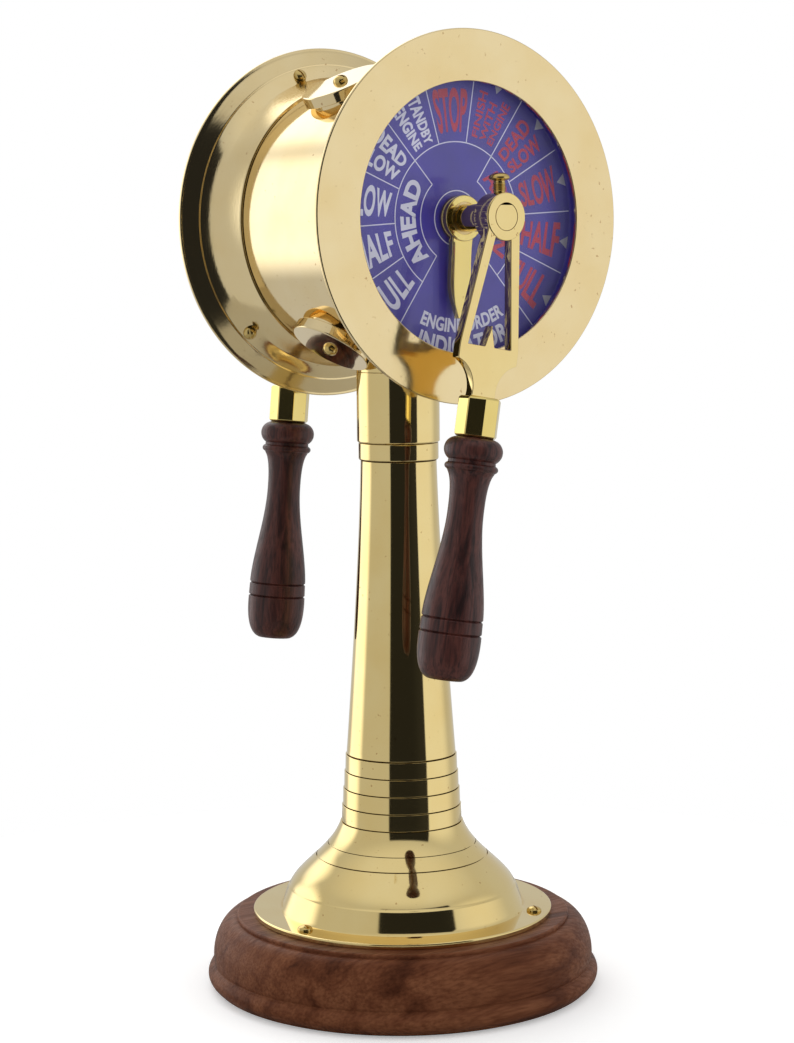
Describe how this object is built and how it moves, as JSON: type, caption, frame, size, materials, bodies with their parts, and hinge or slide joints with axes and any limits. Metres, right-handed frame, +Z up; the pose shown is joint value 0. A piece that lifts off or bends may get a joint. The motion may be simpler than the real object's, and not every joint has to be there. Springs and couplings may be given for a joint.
{
  "type": "ship engine telegraph",
  "caption": "Table-top ship engine telegraph: brass drum with printed dials and lever handles at both ends, on a turned brass pedestal and a round wooden base.",
  "frame": {"origin": "centre of the base's underside, on the surface it stands on", "axes": "+Z up; the drum's axis runs along Y and the front dial faces -Y; +X to the right of the front dial"},
  "size_m": [0.18, 0.1818, 0.43],
  "materials": {
    "polished_brass": "polished, lacquered",
    "screw_brass": "turned, slightly aged",
    "movement_brass": "machined",
    "steel": "machined",
    "wood_base": "satin varnish, reddish brown",
    "grip_wood": "satin oiled dark rosewood",
    "felt": "short pile felt",
    "dial": "printed satin enamel",
    "glass": "clear"
  },
  "bodies": {
    "stand": {"base_felt": "felt", "wood_base": "wood_base", "pedestal_foot": "polished_brass", "foot_screws": "screw_brass", "ring_collar": "polished_brass", "column": "polished_brass", "column_band": "polished_brass", "neck": "polished_brass", "saddle": "polished_brass", "tie_rod": "steel", "tie_rod_nuts": "steel", "tie_rod_washer": "steel", "drum_body": "polished_brass", "port_cover_upper_right": "polished_brass", "port_cover_upper_left": "polished_brass", "port_cover_lower_left": "polished_brass", "port_cover_lower_right": "polished_brass", "port_cover_screws": "screw_brass", "front_bezel": "polished_brass", "rear_bezel": "polished_brass", "front_bezel_screws": "screw_brass", "rear_bezel_screws": "screw_brass", "front_dial": "dial", "rear_dial": "dial", "front_spacer_ring": "dial", "rear_spacer_ring": "dial", "front_glass": "glass", "rear_glass": "glass", "front_plate": "movement_brass", "rear_plate": "movement_brass", "front_bush": "movement_brass", "rear_bush": "movement_brass", "centre_plate": "movement_brass", "pillars": "steel", "gong": "steel", "gong_post": "movement_brass", "hammer_post": "movement_brass", "hammer_spring": "steel"},
    "front_lever": {"front_lever_arm": "polished_brass", "front_lever_shaft": "polished_brass", "front_lever_gear": "movement_brass", "front_ferrule": "polished_brass", "front_grip": "grip_wood", "front_tang": "steel"},
    "rear_lever": {"rear_lever_arm": "polished_brass", "rear_lever_shaft": "polished_brass", "rear_lever_gear": "movement_brass", "rear_ferrule": "polished_brass", "rear_grip": "grip_wood", "rear_tang": "steel", "star_wheel": "steel"},
    "front_thumb_screw": {"front_thumb_screw": "screw_brass"},
    "rear_thumb_screw": {"rear_thumb_screw": "screw_brass"},
    "front_pointer": {"front_pointer": "polished_brass", "front_pointer_arbor": "movement_brass"},
    "rear_pointer": {"rear_pointer": "polished_brass", "rear_pointer_arbor": "movement_brass"},
    "layshaft_a": {"layshaft_a": "movement_brass"},
    "layshaft_b": {"layshaft_b": "movement_brass"},
    "hammer": {"hammer": "steel"}
  },
  "joints": [
    {"name": "front_lever_turn", "type": "hinge", "parent": "stand", "child": "front_lever", "pos_m": [0, -0.075, 0.3495], "axis": [0, 1, 0], "continuous": true},
    {"name": "rear_lever_turn", "type": "hinge", "parent": "stand", "child": "rear_lever", "pos_m": [0, 0.075, 0.3495], "axis": [0, 1, 0], "continuous": true},
    {"name": "front_pointer_turn", "type": "hinge", "parent": "stand", "child": "front_pointer", "pos_m": [0, -0.045, 0.3495], "axis": [0, 1, 0], "continuous": true},
    {"name": "rear_pointer_turn", "type": "hinge", "parent": "stand", "child": "rear_pointer", "pos_m": [0, 0.045, 0.3495], "axis": [0, 1, 0], "continuous": true},
    {"name": "layshaft_a_turn", "type": "hinge", "parent": "stand", "child": "layshaft_a", "pos_m": [0.025, 0, 0.3495], "axis": [0, 1, 0], "continuous": true},
    {"name": "layshaft_b_turn", "type": "hinge", "parent": "stand", "child": "layshaft_b", "pos_m": [-0.025, 0, 0.3495], "axis": [0, 1, 0], "continuous": true},
    {"name": "hammer_swing", "type": "hinge", "parent": "stand", "child": "hammer", "pos_m": [0.02, 0.008, 0.3655], "axis": [0, 1, 0], "range_deg": [-5, 10], "stiffness_Nm_per_rad": 0.1},
    {"name": "front_thumb_screw_turn", "type": "hinge", "parent": "front_lever", "child": "front_thumb_screw", "pos_m": [0, -0.075, 0.3615], "axis": [0, 0, 1], "continuous": true},
    {"name": "rear_thumb_screw_turn", "type": "hinge", "parent": "rear_lever", "child": "rear_thumb_screw", "pos_m": [0, 0.075, 0.3615], "axis": [0, 0, 1], "continuous": true}
  ],
  "couplings": [
    {"joint": "layshaft_a_turn", "follows": "rear_lever_turn", "ratio": -1},
    {"joint": "front_pointer_turn", "follows": "rear_lever_turn", "ratio": 1},
    {"joint": "layshaft_b_turn", "follows": "front_lever_turn", "ratio": -1},
    {"joint": "rear_pointer_turn", "follows": "front_lever_turn", "ratio": 1}
  ]
}
